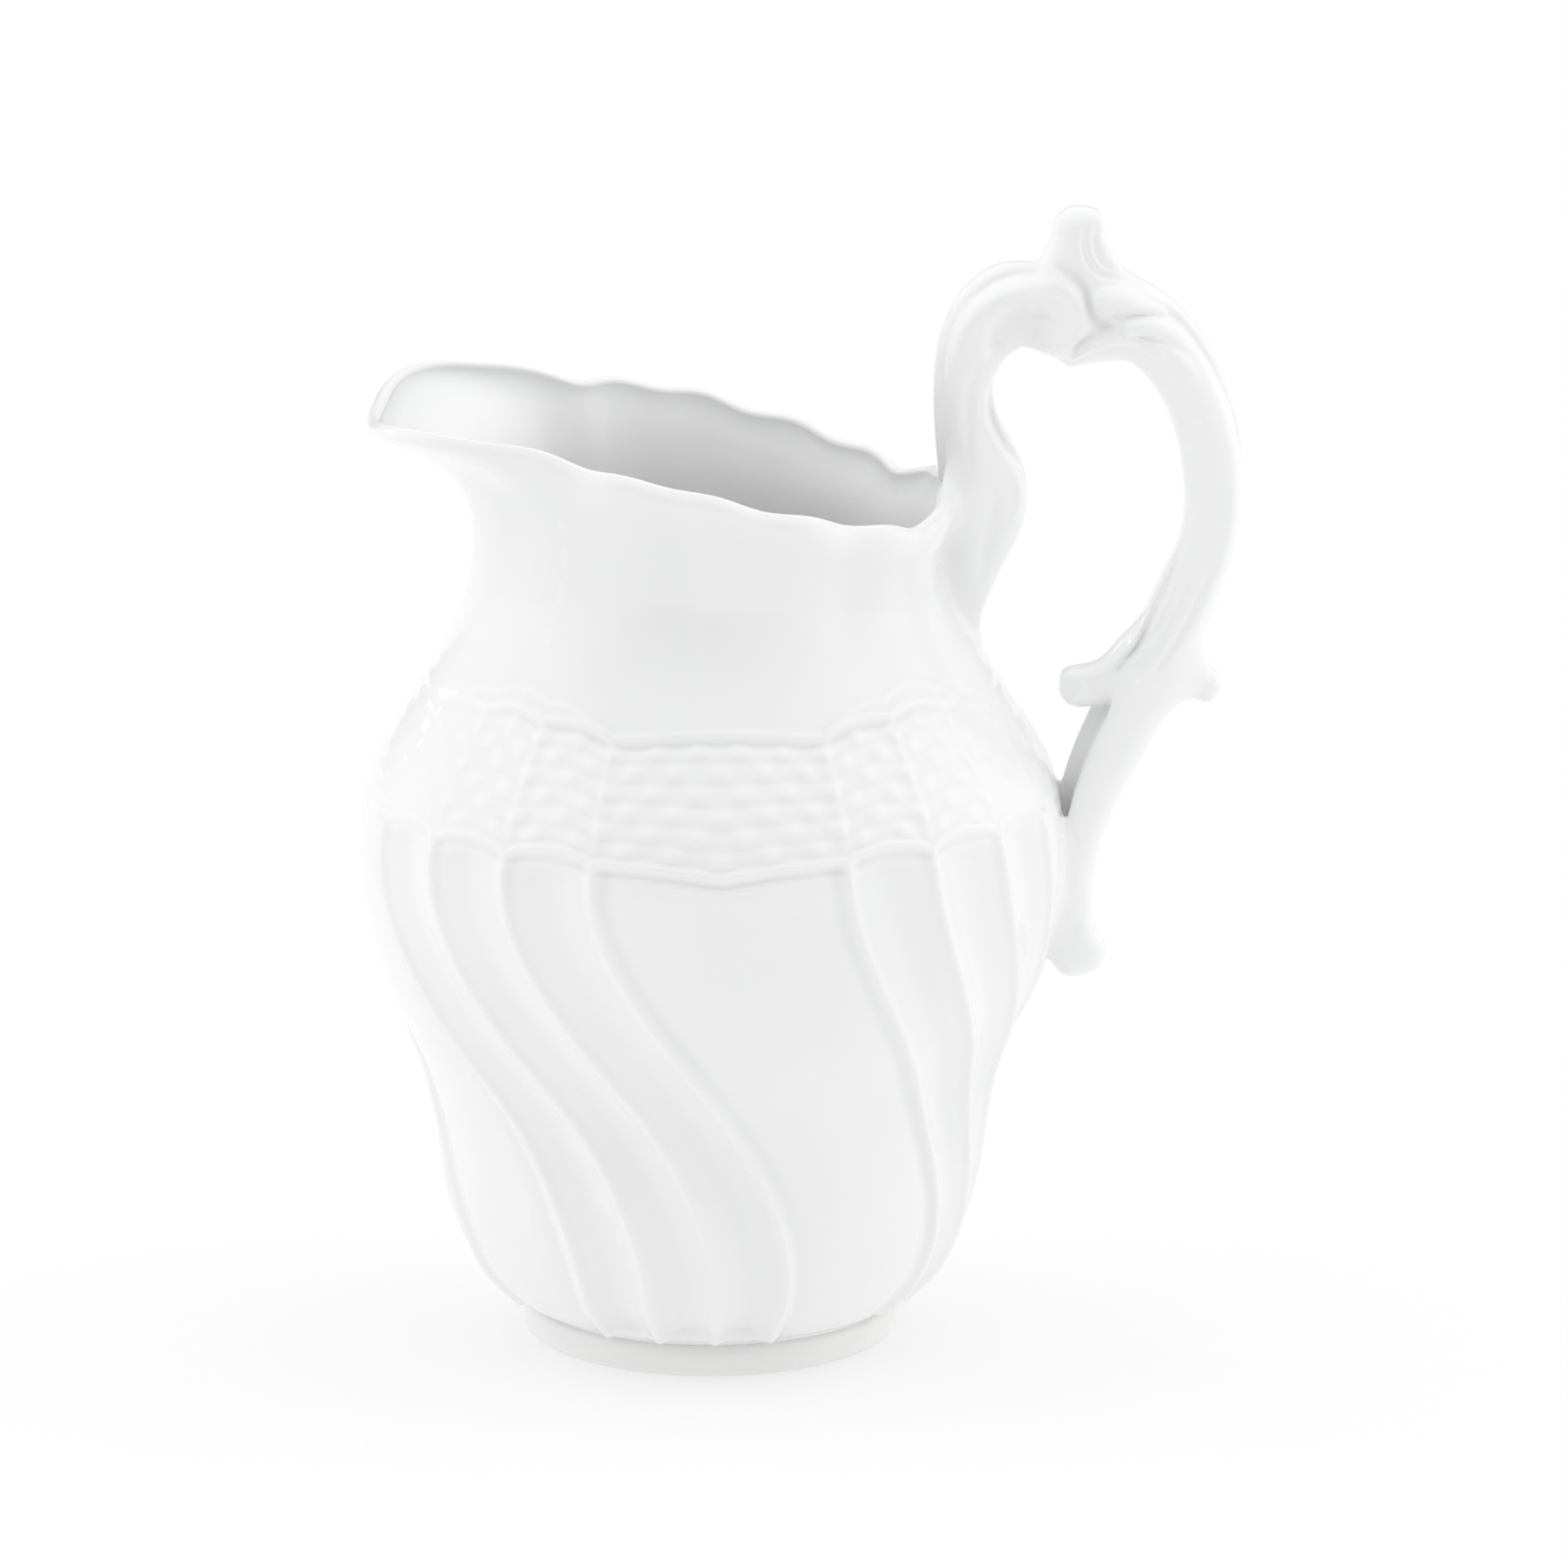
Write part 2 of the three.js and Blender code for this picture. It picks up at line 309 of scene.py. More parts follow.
def body_relief(angle, z, radius):
    """Height of the moulded relief above the plain outline, in millimetres."""
    turned, in_panel, along = quarter_places(angle - swirl(z))
    across = along % 1
    arch = np.where(in_panel, 0, np.sin(math.pi * across) ** 0.8)
    over_group = np.where(in_panel, 0, np.sin(math.pi * np.clip(along / FLUTES, 0, 1)))
    panel_place = np.clip(turned / PANEL_HALF, -1, 1)
    to_rib = radius * np.where(
        in_panel, PANEL_HALF - np.abs(turned), np.minimum(across, 1 - across) * FLUTE)
    low, high = band_edges(in_panel, panel_place, arch, over_group)
    band = (border_relief(z, in_panel, panel_place, over_group, low, high)
            + weave_relief(angle, z, to_rib, low, high))
    return flute_relief(z, in_panel, across, to_rib, low) + band * band_wear(angle)


def neck_lobes(angle, z):
    """Soft upright creases that part the neck into broad and narrow lobes, four times round."""
    turned = (angle - CREASE_AT) % QUARTER
    place = np.where(
        turned < BROAD_LOBE, turned / BROAD_LOBE, (turned - BROAD_LOBE) / (QUARTER - BROAD_LOBE))
    crown = np.sqrt(np.sin(math.pi * place) ** 2 + CREASE_SOFTNESS)
    return LOBE_HEIGHT * (crown - LOBE_MEAN) * smooth((z - NECK_START) / LOBE_RUN_IN)


def rim_lift(from_spout, rise):
    """How far a ring of the neck is raised at an angle from the spout, waves of the rim included."""
    dip = SPOUT_TIP_DIP * np.exp(-((from_spout / SPOUT_TIP_SPREAD) ** 2))
    sag = RIM_SAG * np.exp(-(((from_spout - RIM_SAG_AT) / RIM_SAG_SPREAD) ** 2))
    at_handle = HANDLE_RISE * smooth((from_spout - HANDLE_RISE_FROM) / HANDLE_RISE_SPREAD)
    height = RIM_MEAN + RIM_RAKE * np.cos(from_spout) - dip - sag + at_handle - RIM_REFERENCE
    return height * smooth(rise) + WAVE_LIFT * rim_wave(from_spout) * rise**3


def rim_wave(from_spout):
    """The scalloping of the rim, which dies out towards the spout."""
    return np.cos(RIM_WAVES * from_spout) * smooth((from_spout - WAVES_FROM) / WAVES_FADE)


def neck_rise(z):
    """0 where the neck starts, 1 at the rim."""
    return np.clip((z - NECK_START) / (RIM_REFERENCE - NECK_START), 0, 1)


def shape_neck(x, y, z):
    """Lifts the neck to its raked rim and pulls the spout out of it."""
    rise = neck_rise(z)
    radius = np.maximum(np.hypot(x, y), 1e-6)
    from_spout = np.abs(np.arctan2(y, -x))
    lobe = np.exp(-((from_spout / SPOUT_HALF_ANGLE) ** SPOUT_SHOULDER_POWER))
    pull = SPOUT_REACH * lobe * smooth(rise**SPOUT_FLARE_POWER)
    pull = pull + WAVE_REACH * rim_wave(from_spout) * rise**2
    stretch = 1 + pull / radius
    return x * stretch, y * stretch, z + rim_lift(from_spout, rise)


def outline_rings():
    """Radius, height, and outward direction of the rings up the outside, closest in the band."""
    fine = spline(OUTLINE, 4000)
    length = np.concatenate([[0], np.cumsum(np.hypot(*np.diff(fine, axis=0).T))])
    rings = [0.0]
    while rings[-1] < length[-1]:
        z = np.interp(rings[-1], length, fine[:, 1])
        in_band = BAND_LOW - BAND_MARGIN < z < BAND_HIGH + BAND_MARGIN
        rings.append(rings[-1] + (BAND_RING_STEP if in_band else RING_STEP))
    rings[-1] = length[-1]
    r = np.interp(rings, length, fine[:, 0])
    z = np.interp(rings, length, fine[:, 1])
    slope = np.gradient(fine, axis=0)
    slope /= np.hypot(*slope.T)[:, None]
    out_r = np.interp(rings, length, slope[:, 1])
    out_z = -np.interp(rings, length, slope[:, 0])
    return r, z, out_r, out_z, np.array(rings) / length[-1]


def lip_roll(z):
    """The outside swells a little just under the lip."""
    return LIP_ROLL * ridge(z - RIM_REFERENCE + LIP_ROLL_BELOW, LIP_ROLL_WIDTH)


def wall_thickness(along):
    """The wall at a fraction of the way up the outline: it thins up the neck, and again to the lip."""
    to_neck = (NECK_WALL - WALL) * smooth((along - 0.6) / 0.3)
    to_lip = (LIP_WALL - NECK_WALL) * np.clip((along - 0.95) / 0.05, 0, 1) ** 2
    return WALL + to_neck + to_lip


def body_profile():
    """Rings of the whole shell, and the outward direction of those on the outside, which alone
    carry the relief: underside, outside, lip, inside, floor."""
    r, z, out_r, out_z, along = outline_rings()
    wall = wall_thickness(along)
    inner = np.stack([r - wall * out_r, z - wall * out_z], 1)
    inner = inner[along > INSIDE_FROM][::-INSIDE_RING_EVERY]
    lip_centre = (np.array([r[-1], z[-1]]) + inner[0]) / 2
    turn = np.linspace(0, math.pi, 14)[1:-1]
    start = math.atan2(out_z[-1], out_r[-1])
    lip = lip_centre + LIP_WALL / 2 * np.stack([np.cos(turn + start), np.sin(turn + start)], 1)
    corner = [(FLOOR_RADIUS + 2.4, FLOOR_TOP + 2.0), (FLOOR_RADIUS + 1.0, FLOOR_TOP + 0.7),
              (FLOOR_RADIUS - 1.2, FLOOR_TOP + 0.1), (FLOOR_RADIUS - 4, FLOOR_TOP)]
    floor = [(radius, FLOOR_TOP) for radius in (12, 4)]
    under = [(radius, UNDERSIDE) for radius in (4, 12, 20, 23.6)]
    profile = np.concatenate([under, np.stack([r, z], 1), lip, inner, corner, floor])
    outward = np.zeros_like(profile)
    first = len(under)
    outward[first:first + len(r)] = np.stack([out_r, out_z], 1)
    return profile, outward


def make_body(material):
    """The glazed shell, from the ring of points round each place on its profile."""
    profile, outward = body_profile()
    r, z = profile.T[:, :, None]
    on_outside = (np.abs(outward).sum(1) > 0)[:, None]
    angle = np.linspace(0, 2 * math.pi, COLUMNS, endpoint=False)[None, :] + swirl(z)
    relief = np.where(on_outside, body_relief(angle, z, r) + lip_roll(z), 0)
    r = r + relief * outward[:, 0:1] + neck_lobes(angle, z)
    z = z + relief * outward[:, 1:2]
    x, y, z = shape_neck(r * np.sin(angle), -r * np.cos(angle), z)
    points = np.stack([x, y, z], 2).reshape(-1, 3)
    points = np.concatenate([[[0, 0, UNDERSIDE]], points, [[0, 0, FLOOR_TOP]]])
    piece = make_piece("porcelain_body", points, ring_faces(len(profile), COLUMNS, True, True),
                       material)
    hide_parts("body")


# ------------------------------------------------------------------ foot

def lathe_piece(name, outline, material, node):
    """A closed ring turned about the jug's axis from (radius, height) points."""
    r, z = np.array(outline).T[:, :, None]
    angle = np.linspace(0, 2 * math.pi, FOOT_COLUMNS, endpoint=False)[None, :]
    r, z, angle = np.broadcast_arrays(r, z, angle)
    points = np.stack([r * np.sin(angle), -r * np.cos(angle), z], 2).reshape(-1, 3)
    faces = ring_faces(len(outline), FOOT_COLUMNS, False, False)
    last = (len(outline) - 1) * FOOT_COLUMNS
    for a in range(FOOT_COLUMNS):
        b = (a + 1) % FOOT_COLUMNS
        faces.append((last + a, last + b, b, a))
    piece = make_piece(name, points, faces, material)
    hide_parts(node)


def make_foot_ring(material):
    """The ring that the jug stands on, with soft glazed edges and a flat wiped standing face."""
    outline = [(19.2, 3.9), (19.15, 2.2), (19.3, 1.0), (19.6, 0.35), (20.0, 0.05), (20.4, 0.0),
               (21.2, 0.0), (21.7, 0.06), (22.2, 0.3), (22.65, 0.75), (22.9, 1.3), (22.98, 1.9),
               (22.98, 2.6), (22.9, 3.2), (22.75, 3.65), (22.5, 3.95), (22.1, 4.1), (20, 4.1)]
    lathe_piece("foot_ring_glazed", outline, material, "foot_ring")


def make_foot_slip(material):
    """The fillet of slip in the groove between the foot ring and the body."""
    outline = [(20.5, 3.8), (22.2, 3.9), (22.3, 4.3), (22.35, 4.7), (22.6, 5.1), (23.1, 5.35),
               (22.4, 5.6), (20.5, 5.6)]
    lathe_piece("foot_slip_fillet", outline, material, "foot_slip")


# ------------------------------------------------------------------ handle

# Bars of the handle, in the plane through the spout and the axis. Each place along a bar has its
# distance from the axis, its height, and its half width in that plane and across it. The stem and
# strap also say how hollow the inner face is, and how much of the spine shows on the outer one.
STEM = [
    (30.4, 88.0, 2.0, 2.6, 0, 0), (30.6, 92.5, 3.2, 3.6, 0, 0), (31.4, 97.0, 4.3, 4.4, 0, 0.3),
    (32.7, 104.8, 5.6, 4.9, 0, 0.7), (31.2, 112.0, 4.2, 4.7, 0, 1), (30.5, 118.5, 3.6, 4.4, 0, 1),
    (32.7, 124.7, 4.6, 4.6, 0, 1), (37.2, 127.7, 5.2, 4.8, 0, 1), (41.2, 126.5, 4.7, 4.6, 0, 0.6),
]
STRAP = [
    (41.5, 127.2, 4.8, 3.6, 0, 0), (47.0, 127.2, 5.0, 4.0, 0, 0.8), (52.4, 124.8, 4.6, 4.6, 0, 1),
    (58.5, 116.8, 4.1, 4.8, 0, 1), (60.9, 106.5, 3.9, 4.6, 0, 0.7), (60.2, 98.0, 3.7, 4.5, 0, 0.3),
    (56.3, 88.5, 3.9, 4.4, 0, 0), (52.4, 80.5, 4.3, 4.4, 2.2, 0), (48.3, 72.5, 4.1, 4.0, 2.6, 0),
    (45.4, 65.0, 3.4, 3.6, 2.0, 0), (44.2, 57.0, 2.6, 3.2, 0.6, 0), (44.2, 49.0, 2.5, 3.0, 0, 0),
]
THUMB_REST = [(44.8, 127.0, 6.6, 4.2), (44.4, 131.8, 5.2, 3.8), (44.2, 136.3, 3.3, 3.0)]
LOWER_LEAF = [(48.6, 123.8, 3.2, 3.8), (45.8, 122.5, 2.1, 3.3), (43.5, 121.0, 1.1, 1.8)]
SCROLL_ARM = [(52.0, 82.0, 3.4, 3.6), (48.2, 80.8, 2.7, 3.1), (44.7, 80.2, 2.5, 3.3)]
SPUR = [(53.6, 82.8, 5.0, 4.2), (56.6, 82.1, 4.1, 3.6), (58.9, 81.1, 2.7, 2.6), (59.9, 80.5, 2.1, 2.2)]
TAIL_KNOB = [(44.4, 49.5, 2.6, 3.1), (44.9, 47.4, 3.4, 3.5)]
BAR_BLENDS = [(STRAP, 1.0), (THUMB_REST, 1.4), (LOWER_LEAF, 1.0), (SCROLL_ARM, 1.4), (SPUR, 3.0),
              (TAIL_KNOB, 1.2)]
INNER_SQUARENESS = 0.9
HOLLOW_SPREAD = 0.6
HOLLOW_FROM = 0.1
HOLLOW_FADE = 0.4
SPINE_HEIGHT = 0.95
SPINE_HALF = 1.9
SPINE_DEPTH = 1.1
SPINE_BLEND = 0.2
# Where the strap is hollow its section is turned a little, so the hollow shows from the front.
TAIL_TURN = math.radians(12)
TURN_FROM = 0.7
TURN_FULL = 2.0
FLANK_FROM = 1.2
FLANK_FADE = 1.8

# Moulded lines on both flanks: distance from the axis, height, half width, and how far they stand
# up (below 0 for a groove) at each point.
SOFT_STROKES = [
    # the bead that runs up the stem and round the arch, and curls into the volute
    [(29.0, 108, 0.6, 0.1), (28.8, 115, 0.9, 0.35), (29.2, 121.9, 1.1, 0.45), (30.8, 126.5, 1.2, 0.5),
     (34.3, 129.3, 1.2, 0.5), (38.8, 130.6, 1.2, 0.5), (41.9, 130.3, 1.1, 0.5),
     (43.7, 128.4, 1.0, 0.5), (44.2, 125.8, 0.9, 0.5), (43.4, 123.6, 0.8, 0.4), (41.4, 123.2, 0.7, 0)],
    # the recess inside the arch
    [(33.6, 122.6, 0.9, -0.5), (34.4, 124.8, 1.2, -1.6), (35.9, 126.0, 1.5, -2.4),
     (37.9, 126.6, 1.5, -2.2), (40.0, 126.4, 1.2, -1.1), (41.2, 125.6, 0.8, 0)],
    [(35.4, 123.8, 1.6, -2.0), (37.4, 124.3, 1.8, -2.0), (39.8, 124.6, 1.3, -0.6)],
    # upright lines on the stem
    [(30.9, 108, 0.5, 0), (30.8, 113, 0.6, -0.35), (31.2, 119, 0.7, -0.35), (32.4, 122.4, 0.8, 0)],
    [(33.4, 118.4, 0.35, 0), (33.4, 116, 0.35, -0.7), (34.3, 112.6, 0.4, -0.8),
     (36.3, 109.5, 0.4, -0.8), (38.0, 106.8, 0.4, -0.6), (38.3, 104.2, 0.4, 0)],
    # clefts between the volute and the leaf
    [(42.1, 132.7, 0.5, -0.6), (43.7, 131.6, 0.85, -1.8), (44.9, 130.0, 0.65, -1.8),
     (45.3, 128.2, 0.45, -1.6), (45.9, 126.7, 0.65, -1.6), (47.2, 125.7, 0.9, -1.3)],
    [(48.6, 125.5, 0.5, -0.4), (46.8, 125.2, 0.65, -0.5), (45.3, 124.3, 0.45, -0.7),
     (43.7, 123.0, 0.35, -0.6)],
    # lines on the thumb rest
    [(44.8, 137.4, 0.35, -0.2), (44.8, 134.4, 0.4, -0.45), (45.9, 132.3, 0.4, -0.5),
     (49.0, 131.2, 0.35, -0.4), (52.5, 130.5, 0.3, 0)],
    [(46.1, 137.6, 0.3, -0.2), (46.2, 134.4, 0.35, -0.4), (47.2, 132.9, 0.35, -0.4), (50.1, 131.7, 0.3, 0)],
    # veins of the leaf
    [(48.6, 127.2, 0.5, -0.5), (51.0, 127.0, 0.45, -0.5), (54.4, 126.6, 0.4, -0.3), (58, 125, 0.3, 0)],
    [(51.5, 124.3, 0.4, -0.4), (54.4, 123.6, 0.4, -0.35), (57.4, 121.8, 0.4, -0.2), (59.4, 118.6, 0.4, 0)],
    [(54.0, 122.4, 0.3, 0), (55.6, 120.6, 0.35, -0.3), (57.0, 118, 0.35, 0)],
    # strap: a rolled outer band beside a shallow trough, with fine lines lower down
    [(58.2, 122.4, 0.8, 0), (61.4, 115.8, 1.1, 0.35), (63.0, 108.0, 1.1, 0.4), (62.6, 99.6, 1.1, 0.4),
     (60.0, 92.0, 1.0, 0.3), (57.4, 86.0, 0.8, 0)],
    [(55.6, 118.6, 1.2, -0.4), (57.8, 112.0, 1.8, -0.6), (58.6, 105.0, 1.8, -0.6),
     (57.8, 98.6, 1.6, -0.5), (55.0, 91.6, 1.2, -0.3), (52.4, 86.4, 0.8, 0)],
    [(60.6, 98.0, 0.35, 0), (58.6, 92.0, 0.4, -0.3), (55.6, 86.2, 0.4, -0.3), (52.4, 82.0, 0.3, 0)],
    [(57.0, 94.4, 0.4, 0), (54.4, 88.8, 0.4, -0.25), (51.6, 84.4, 0.35, 0)],
    [(49.2, 83.0, 0.4, -0.7), (51.8, 86.3, 0.4, -1.0), (53.9, 90.6, 0.4, -1.0), (55.6, 94.4, 0.35, -0.8),
     (57.2, 99.0, 0.3, 0)],
    # ball of the lower scroll
    [(45.4, 81.2, 0.5, -0.4), (45.8, 80.9, 0.5, -0.4)],
    [(47.8, 78.6, 0.5, 0), (47.4, 80.4, 0.5, -0.35), (48.2, 82.4, 0.4, 0)],
    # leaf at the neck: its edge, and a hollow down its middle
    [(36.0, 108.2, 0.5, 0), (37.0, 106.0, 0.5, 0.3), (36.8, 103.2, 0.5, 0.3), (35.6, 100.6, 0.4, 0)],
    [(34.6, 107.0, 0.8, 0), (33.8, 103.0, 1.2, -0.5), (32.8, 98.4, 1.0, -0.4), (32.2, 93.6, 0.5, 0)],
]
ROUND_STROKES = [
    # leaf fingers and the lower edge of the leaf
    [(47.2, 128.8, 1.5, 1.0), (49.4, 128.7, 1.7, 1.0), (52.1, 128.4, 1.6, 0.7), (54.8, 127.7, 1.2, 0.3),
     (57.0, 126.8, 0.6, 0)],
    [(50.1, 125.5, 1.0, 0.9), (52.5, 125.6, 1.1, 0.75), (55.2, 124.9, 0.9, 0.35), (57.4, 123.6, 0.5, 0)],
    [(43.6, 121.5, 0.4, 0.4), (45.0, 122.6, 0.6, 0.7), (46.9, 123.6, 0.7, 0.8), (49.4, 124.0, 0.7, 0.7),
     (52.3, 123.3, 0.7, 0.4), (54.6, 121.6, 0.5, 0)],
]


# The blocks of space in which the handle and its two fillets are meshed, and how they are joined
HANDLE_BLOCK = (23.0, -8.0, 42.0), (68.0, 8.0, 141.5)
UPPER_SLIP_BLOCK = (17.0, -15.0, 84.0), (44.0, 15.0, 116.0)
LOWER_SLIP_BLOCK = (33.0, -10.0, 38.0), (52.0, 10.0, 76.0)
FIELD_LIMIT = 5.0
ROOT_DEPTH = 1.2
ROOT_BELOW_LIP = 0.2
SLIP_SINK = 0.05
SLIP_OVERLAP = 0.2
MOUTH_EDGE = 1.2
# The lip's centre is this far above the reference height of the rim
LIP_RISE = 0.3
# How often the neck's lift is worked out again to find where a lifted point came from
UNLIFT_ROUNDS = 8


def soft_min(a, b, blend):
    """The smaller of two distances, with the crease between them rounded over blend."""
    mix = np.clip(0.5 + 0.5 * (b - a) / blend, 0, 1)
    return b + (a - b) * mix - blend * mix * (1 - mix)


def fillet(a, b, width):
    """Like soft_min, but it eases in so gently that no edge shows where it starts."""
    near = np.maximum(1 - np.abs(a - b) / width, 0)
    return np.minimum(a, b) - width * near**3 / 6


def beside_path(stations, x, z):
    """Nearest place on a path in the handle's plane: offsets to its outer side and past its end."""
    path = spline(stations, 40 * (len(stations) - 1) + 1)
    step = np.gradient(path[:, :2], axis=0)
    step /= np.hypot(*step.T)[:, None]
    best = np.zeros(x.shape, int)
    nearest = np.full(x.shape, 1e9)
    for i, (px, pz) in enumerate(path[:, :2]):
        distance = (x - px) ** 2 + (z - pz) ** 2
        closer = distance < nearest
        best[closer] = i
        nearest[closer] = distance[closer]
    dx = x - path[best, 0]
    dz = z - path[best, 1]
    outer = -dx * step[best, 1] + dz * step[best, 0]
    past = dx * step[best, 0] + dz * step[best, 1]
    return outer, past, path[best, 2:]


def bar(stations, x, y, z):
    """Distance to a bar whose section changes along its path: oval outside, squarer inside."""
    outer, past, size = beside_path(stations, x[:, 0, :], z[:, 0, :])
    outer, past = outer[:, None, :], past[:, None, :]
    a, b = size[:, None, :, 0], size[:, None, :, 1]
    hollow = spine = np.zeros_like(a)
    if size.shape[2] > 2:
        hollow, spine = size[:, None, :, 2], size[:, None, :, 3]
        turn = TAIL_TURN * smooth((hollow - TURN_FROM) / (TURN_FULL - TURN_FROM))
        outer, y = outer * np.cos(turn) + y * np.sin(turn), y * np.cos(turn) - outer * np.sin(turn)
    inset = SPINE_HEIGHT * spine / 2
    u = (outer + inset) / (a - inset)
    v = past / a
    w = np.abs(y) / b
    power = 2 + INNER_SQUARENESS * smooth(-u)
    reach = np.maximum(np.abs(u) ** power + np.abs(v) ** power + w**power, 1e-4) ** (1 / power)
    slope = reach ** (1 - power) * np.sqrt(
        (np.abs(u) ** (power - 1) / a) ** 2 + (np.abs(v) ** (power - 1) / a) ** 2
        + (w ** (power - 1) / b) ** 2)
    field = np.maximum((reach - 1) / np.maximum(slope, 1e-3), -np.minimum(a, b))
    across_hollow = np.exp(-((w / HOLLOW_SPREAD) ** 6))
    field = field + hollow * across_hollow * smooth((-u - HOLLOW_FROM) / HOLLOW_FADE)
    from_spine = np.sqrt(
        ((outer - a + SPINE_DEPTH) / SPINE_DEPTH) ** 2 + (y / SPINE_HALF) ** 2 + v**2) - 1
    return soft_min(field, from_spine * SPINE_DEPTH + 2 * (1 - spine), SPINE_BLEND)


def flank_strokes(x, z):
    """Height of the moulded lines at each place on the handle's flanks."""
    height = np.zeros(x.shape)
    for strokes, rounded in ((SOFT_STROKES, False), (ROUND_STROKES, True)):
        for stations in strokes:
            outer, past, size = beside_path(stations, x, z)
            half, rise = size[:, :, 0], size[:, :, 1]
            place = (outer**2 + past**2) / half**2
            height += rise * (np.sqrt(np.clip(1 - place, 0, 1)) if rounded else np.exp(-place))
    return height


def handle_field(x, y, z):
    """Distance to the whole handle, in millimetres, below 0 inside it."""
    field = bar(STEM, x, y, z)
    for stations, blend in BAR_BLENDS:
        field = soft_min(field, bar(stations, x, y, z), blend)
    flank = smooth((np.abs(y) - FLANK_FROM) / FLANK_FADE)
    return field - flank_strokes(x[:, 0, :], z[:, 0, :])[:, None, :] * flank


def grid(low, high):
    """x, y and z of the points of a block between two corners, a voxel apart."""
    axes = [np.arange(a, b + VOXEL, VOXEL) for a, b in zip(low, high)]
    return np.meshgrid(*axes, indexing="ij")


def skin(name, field, low, material, node):
    """Meshes the surface where a field over a grid is 0, and puts it in place of a CAD node."""
    volume = openvdb.FloatGrid()
    volume.background = FIELD_LIMIT
    volume.copyFromArray(np.clip(field, -FIELD_LIMIT, FIELD_LIMIT).astype(np.float32))
    points, triangles, quads = volume.convertToPolygons(isovalue=0.0, adaptivity=0.0)
    points = np.array(points, float) * VOXEL + np.array(low)
    faces = triangles[:, ::-1].tolist() + quads[:, ::-1].tolist()
    piece = make_piece(name, points, faces, material)
    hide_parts(node)


def body_outside(x, y, z):
    """Distance outwards from the finished outside of the body, and height above its lip's centre."""
    angle = np.arctan2(x, -y)
    radius = np.hypot(x, y)
    from_spout = np.abs(np.arctan2(y, -x))
    flat_z = z
    for _ in range(UNLIFT_ROUNDS):
        rise = neck_rise(flat_z)
        flat_z = z - rim_lift(from_spout, rise)
    pull = WAVE_REACH * rim_wave(from_spout) * rise**2
    r, height, out_r, _, _ = outline_rings()
    surface = np.interp(flat_z, height, r)
    facing = np.interp(flat_z, height, out_r)
    relief = body_relief(angle, flat_z, surface) + lip_roll(flat_z)
    relief = relief / np.maximum(facing, 0.3)
    outside = (radius - surface - relief - neck_lobes(angle, flat_z) - pull) * facing
    return outside, flat_z - RIM_REFERENCE - LIP_RISE


def make_handle(material):
    """The scroll handle, cut off where its roots would come through the body's wall."""
    low, high = HANDLE_BLOCK
    x, y, z = grid(low, high)
    outside, above_lip = body_outside(x, y, z)
    root = np.maximum(outside + ROOT_DEPTH, above_lip + ROOT_BELOW_LIP)
    field = np.maximum(handle_field(x, y, z), -root)
    skin("scroll_handle", field, low, material, "handle")


def make_slip(name, block, blend, has_lip, material, node):
    """A fillet where the handle meets the body. Away from the seam it lies just under both."""
    low, high = block
    x, y, z = grid(low, high)
    handle = handle_field(x, y, z) + SLIP_SINK
    outside, above_lip = body_outside(x, y, z)
    body = outside + SLIP_SINK
    if has_lip:
        half_wall = LIP_WALL / 2
        mid_wall = outside + half_wall
        to_wall = np.where(above_lip > 0, np.hypot(mid_wall, above_lip), np.abs(mid_wall))
        body = to_wall - half_wall + SLIP_SINK
    width = blend(y, z)
    field = np.maximum(fillet(handle, body, width), np.maximum(handle, body) - width - SLIP_OVERLAP)
    if has_lip:
        # nothing stands out from the inside of the wall into the mouth
        inside_wall = outside + LIP_WALL - 2 * SLIP_SINK
        field = -soft_min(-field, inside_wall, MOUTH_EDGE)
    skin(name, field, low, material, node)


def upper_blend(y, z):
    """Width of the upper fillet: narrow down the neck, wide at the rim, widest on the far side."""
    return 4.0 + (3.5 + 3.5 * smooth(y / 4)) * smooth((z - 97) / 5)


def lower_blend(_, z):
    """Width of the lower fillet, which is narrow where the gap behind the strap closes."""
    return 1.8 + 3.6 * smooth((66 - z) / 12)


def make_upper_slip(material):
    """Where the stem stands on the rim, whose lip sweeps up into it, and the leaf lies on the neck."""
    make_slip("upper_joint_slip", UPPER_SLIP_BLOCK, upper_blend, True, material, "upper_handle_slip")


def make_lower_slip(material):
    """The fillet round the tail where it lies against the belly."""
    make_slip("lower_joint_slip", LOWER_SLIP_BLOCK, lower_blend, False, material, "lower_handle_slip")


# ------------------------------------------------------------------ materials

# Noise scales are in lumps per metre, and the ripple's height is in metres.
POOLING_RANGE = (0.46, 0.52)
CLOUD_SCALE = 45.0
CLOUD_COLOUR = (0.97, 0.975, 0.975)
SHEEN_SCALE = 130.0
RIPPLE_SCALE = 320.0
RIPPLE_STRENGTH = 0.12
RIPPLE_HEIGHT = 0.0002


def shader(name, colour, roughness):
    """A new material with its Principled shader set."""
    material = bpy.data.materials.new(name)
    material.use_nodes = True
    tree = material.node_tree
    principled = tree.nodes["Principled BSDF"]
    principled.inputs["Base Color"].default_value = (*colour, 1)
    principled.inputs["Roughness"].default_value = roughness
    principled.inputs["IOR"].default_value = 1.5
    return material, tree, principled


def add(tree, kind, **inputs):
    """A new node with some of its inputs set."""
    node = tree.nodes.new(kind)
    for key, value in inputs.items():
        node.inputs[key].default_value = value
    return node


def noise(tree, scale, detail=3.0):
    """Noise over the object's own coordinates, in metres."""
    place = tree.nodes.new("ShaderNodeTexCoord")
    texture = add(tree, "ShaderNodeTexNoise", Scale=scale, Detail=detail)
    tree.links.new(place.outputs["Object"], texture.inputs["Vector"])
    return texture.outputs["Fac"]


